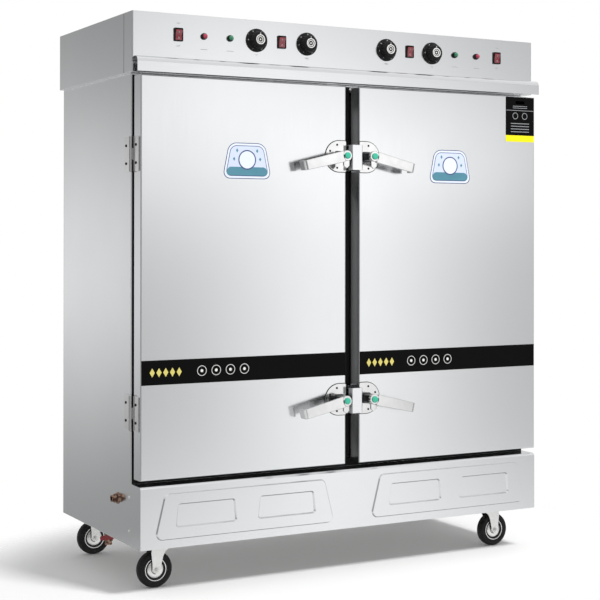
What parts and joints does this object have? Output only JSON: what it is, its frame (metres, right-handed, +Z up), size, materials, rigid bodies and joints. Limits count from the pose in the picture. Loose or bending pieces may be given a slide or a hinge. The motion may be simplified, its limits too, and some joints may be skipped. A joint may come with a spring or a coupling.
{
  "type": "rice steamer cabinet",
  "caption": "Two-door stainless rice steamer cabinet on swivel casters, with cross latches, a sloped visor, a head with dials and switches, and racked steam chambers.",
  "frame": {"origin": "on the floor, under the middle of the whole width and depth, levers included", "axes": "+X to the right as seen from the front, +Y from the front to the back, +Z up; the doors face -Y"},
  "size_m": [1.4345, 0.7137, 1.6795],
  "materials": {
    "stainless_panels": "fine brushed stainless sheet",
    "stainless_liner": "plain stainless sheet, duller than the outside",
    "polished_steel": "polished stainless castings and stampings",
    "zinc_steel": "bright zinc plate",
    "heater_sheath": "annealed heater sheath",
    "foam": "poured polyurethane foam",
    "brass": "cast and turned brass",
    "red_coating": "dipped vinyl coating",
    "black_plastic": "moulded black plastic",
    "red_plastic": "translucent red key with a lamp behind it",
    "red_lens": "clear red lens",
    "green_lens": "clear green lens",
    "black_silicone": "black silicone seal",
    "black_rubber": "solid black rubber"
  },
  "bodies": {
    "cabinet": {"side_panel_left": "stainless_panels", "side_panel_right": "stainless_panels", "back_roof_panel": "stainless_panels", "face_frame": "stainless_panels", "chamber_liner_left": "stainless_liner", "chamber_liner_right": "stainless_liner", "insulation_foam": "foam", "chassis_frame": "zinc_steel", "base_panel": "stainless_panels", "tray_racks": "stainless_liner", "heating_elements": "heater_sheath", "splash_plates": "stainless_liner", "cabinet_screws": "zinc_steel", "hinge_cabinet_leaves": "polished_steel", "latch_keepers": "polished_steel", "water_inlet": "brass", "drain_valve": "brass", "head_cover": "stainless_panels", "control_panel": "stainless_panels", "visor": "stainless_panels", "panel_bezels": "black_plastic", "lamp_lenses_red": "red_lens", "lamp_lenses_green": "green_lens", "dial_mechanisms": "zinc_steel", "caster_plates": "zinc_steel"},
    "door_left": {"door_shell_left": "stainless_panels", "door_inner_left": "stainless_liner", "door_gasket_left": "black_silicone", "hinge_door_leaves_left": "polished_steel", "latch_bases_left": "polished_steel"},
    "latch_lever_upper_left": {"latch_lever_upper_left": "polished_steel"},
    "latch_lever_lower_left": {"latch_lever_lower_left": "polished_steel"},
    "knob_outer_left": {"knob_outer_left": "black_plastic"},
    "rocker_outer_left": {"rocker_outer_left": "red_plastic"},
    "knob_inner_left": {"knob_inner_left": "black_plastic"},
    "rocker_inner_left": {"rocker_inner_left": "red_plastic"},
    "door_right": {"door_shell_right": "stainless_panels", "door_inner_right": "stainless_liner", "door_gasket_right": "black_silicone", "hinge_door_leaves_right": "polished_steel", "latch_bases_right": "polished_steel"},
    "latch_lever_upper_right": {"latch_lever_upper_right": "polished_steel"},
    "latch_lever_lower_right": {"latch_lever_lower_right": "polished_steel"},
    "knob_outer_right": {"knob_outer_right": "black_plastic"},
    "rocker_outer_right": {"rocker_outer_right": "red_plastic"},
    "knob_inner_right": {"knob_inner_right": "black_plastic"},
    "rocker_inner_right": {"rocker_inner_right": "red_plastic"},
    "caster_fork_front_left": {"caster_fork_front_left": "zinc_steel"},
    "caster_wheel_front_left": {"caster_rim_front_left": "zinc_steel", "caster_tyre_front_left": "black_rubber"},
    "caster_fork_front_right": {"caster_fork_front_right": "zinc_steel"},
    "caster_wheel_front_right": {"caster_rim_front_right": "zinc_steel", "caster_tyre_front_right": "black_rubber"},
    "caster_fork_back_left": {"caster_fork_back_left": "zinc_steel"},
    "caster_wheel_back_left": {"caster_rim_back_left": "zinc_steel", "caster_tyre_back_left": "black_rubber"},
    "caster_fork_back_right": {"caster_fork_back_right": "zinc_steel"},
    "caster_wheel_back_right": {"caster_rim_back_right": "zinc_steel", "caster_tyre_back_right": "black_rubber"},
    "drain_handle": {"drain_handle": "red_coating"}
  },
  "joints": [
    {"name": "door_left_hinge", "type": "hinge", "parent": "cabinet", "child": "door_left", "pos_m": [-0.706, -0.2391, 0.9134], "axis": [0, 0, -1], "range_deg": [0, 180]},
    {"name": "latch_lever_upper_left_pivot", "type": "hinge", "parent": "door_left", "child": "latch_lever_upper_left", "pos_m": [-0.0486, -0.3467, 1.2775], "axis": [0, 1, 0], "range_deg": [0, 75]},
    {"name": "latch_lever_lower_left_pivot", "type": "hinge", "parent": "door_left", "child": "latch_lever_lower_left", "pos_m": [-0.0486, -0.3467, 0.5335], "axis": [0, 1, 0], "range_deg": [0, 75]},
    {"name": "knob_outer_left_turn", "type": "hinge", "parent": "cabinet", "child": "knob_outer_left", "pos_m": [-0.315, -0.2658, 1.619], "axis": [0, 1, 0], "range_deg": [0, 330]},
    {"name": "rocker_outer_left_tilt", "type": "hinge", "parent": "cabinet", "child": "rocker_outer_left", "pos_m": [-0.57, -0.2653, 1.619], "axis": [-1, 0, 0], "range_deg": [0, 20]},
    {"name": "knob_inner_left_turn", "type": "hinge", "parent": "cabinet", "child": "knob_inner_left", "pos_m": [-0.143, -0.2658, 1.619], "axis": [0, 1, 0], "range_deg": [0, 290]},
    {"name": "rocker_inner_left_tilt", "type": "hinge", "parent": "cabinet", "child": "rocker_inner_left", "pos_m": [-0.23, -0.2653, 1.619], "axis": [-1, 0, 0], "range_deg": [0, 20]},
    {"name": "door_right_hinge", "type": "hinge", "parent": "cabinet", "child": "door_right", "pos_m": [0.706, -0.2391, 0.9134], "axis": [0, 0, 1], "range_deg": [0, 180]},
    {"name": "latch_lever_upper_right_pivot", "type": "hinge", "parent": "door_right", "child": "latch_lever_upper_right", "pos_m": [0.0486, -0.3467, 1.2775], "axis": [0, -1, 0], "range_deg": [0, 75]},
    {"name": "latch_lever_lower_right_pivot", "type": "hinge", "parent": "door_right", "child": "latch_lever_lower_right", "pos_m": [0.0486, -0.3467, 0.5335], "axis": [0, -1, 0], "range_deg": [0, 75]},
    {"name": "knob_outer_right_turn", "type": "hinge", "parent": "cabinet", "child": "knob_outer_right", "pos_m": [0.315, -0.2658, 1.619], "axis": [0, 1, 0], "range_deg": [0, 330]},
    {"name": "rocker_outer_right_tilt", "type": "hinge", "parent": "cabinet", "child": "rocker_outer_right", "pos_m": [0.57, -0.2653, 1.619], "axis": [-1, 0, 0], "range_deg": [0, 20]},
    {"name": "knob_inner_right_turn", "type": "hinge", "parent": "cabinet", "child": "knob_inner_right", "pos_m": [0.143, -0.2658, 1.619], "axis": [0, 1, 0], "range_deg": [0, 290]},
    {"name": "rocker_inner_right_tilt", "type": "hinge", "parent": "cabinet", "child": "rocker_inner_right", "pos_m": [0.23, -0.2653, 1.619], "axis": [-1, 0, 0], "range_deg": [0, 20]},
    {"name": "caster_fork_front_left_swivel", "type": "hinge", "parent": "cabinet", "child": "caster_fork_front_left", "pos_m": [-0.578, -0.1853, 0.1167], "axis": [0, 0, 1], "continuous": true},
    {"name": "caster_wheel_front_left_spin", "type": "hinge", "parent": "caster_fork_front_left", "child": "caster_wheel_front_left", "pos_m": [-0.61, -0.1853, 0.054], "axis": [0, 1, 0], "continuous": true},
    {"name": "caster_fork_front_right_swivel", "type": "hinge", "parent": "cabinet", "child": "caster_fork_front_right", "pos_m": [0.578, -0.1853, 0.1167], "axis": [0, 0, 1], "continuous": true},
    {"name": "caster_wheel_front_right_spin", "type": "hinge", "parent": "caster_fork_front_right", "child": "caster_wheel_front_right", "pos_m": [0.61, -0.1853, 0.054], "axis": [0, 1, 0], "continuous": true},
    {"name": "caster_fork_back_left_swivel", "type": "hinge", "parent": "cabinet", "child": "caster_fork_back_left", "pos_m": [-0.578, 0.3217, 0.1167], "axis": [0, 0, 1], "continuous": true},
    {"name": "caster_wheel_back_left_spin", "type": "hinge", "parent": "caster_fork_back_left", "child": "caster_wheel_back_left", "pos_m": [-0.61, 0.3217, 0.054], "axis": [0, 1, 0], "continuous": true},
    {"name": "caster_fork_back_right_swivel", "type": "hinge", "parent": "cabinet", "child": "caster_fork_back_right", "pos_m": [0.578, 0.3217, 0.1167], "axis": [0, 0, 1], "continuous": true},
    {"name": "caster_wheel_back_right_spin", "type": "hinge", "parent": "caster_fork_back_right", "child": "caster_wheel_back_right", "pos_m": [0.61, 0.3217, 0.054], "axis": [0, 1, 0], "continuous": true},
    {"name": "drain_handle_turn", "type": "hinge", "parent": "cabinet", "child": "drain_handle", "pos_m": [-0.632, 0.1017, 0.096], "axis": [0, -1, 0], "range_deg": [0, 90]}
  ]
}
